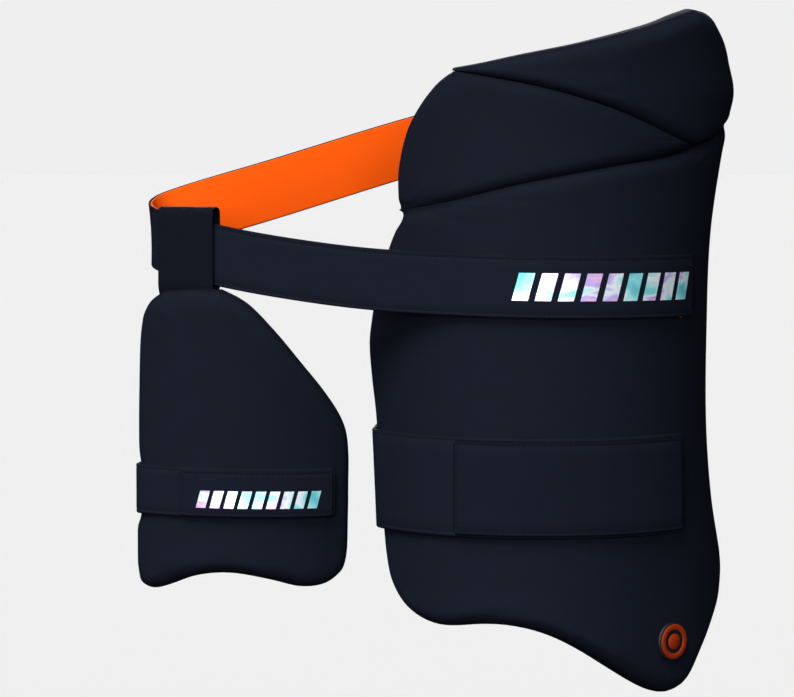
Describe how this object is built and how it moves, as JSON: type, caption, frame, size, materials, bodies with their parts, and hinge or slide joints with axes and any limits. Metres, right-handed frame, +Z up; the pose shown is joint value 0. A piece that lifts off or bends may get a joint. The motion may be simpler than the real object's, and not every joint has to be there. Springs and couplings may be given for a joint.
{
  "type": "thigh guard",
  "caption": "Padded outer thigh and hip guard with a smaller inner thigh pad, hung on a waist strap and closed with elastic thigh straps.",
  "frame": {"origin": "middle of the waist strap's loop, where the wearer's waist sits", "axes": "+Z up along the wearer, -Y the wearer's front, +X the side that the outer guard covers"},
  "size_m": [0.3864, 0.2205, 0.4311],
  "materials": {
    "pad_cloth": "matte brushed knit over foam",
    "lining_cloth": "matte plain cloth",
    "strap_elastic": "matte woven elastic",
    "orange_elastic": "matte woven elastic, orange",
    "keeper_webbing": "ribbed webbing",
    "tab_cloth": "brushed loop cloth",
    "badge_rubber": "satin moulded rubber",
    "badge_orange": "satin moulded rubber, orange"
  },
  "bodies": {
    "root": {"guard_body": "pad_cloth", "upper_panel": "pad_cloth", "hip_flap": "pad_cloth", "joining_cloth": "lining_cloth", "inner_pad": "pad_cloth", "waist_strap": "strap_elastic", "waist_strap_lining": "orange_elastic", "strap_keeper": "keeper_webbing", "thigh_strap": "strap_elastic", "thigh_strap_tab": "tab_cloth", "inner_strap": "strap_elastic", "inner_strap_tab": "tab_cloth", "badge": "badge_rubber", "badge_ring": "badge_orange", "badge_dot": "badge_orange"}
  },
  "joints": []
}
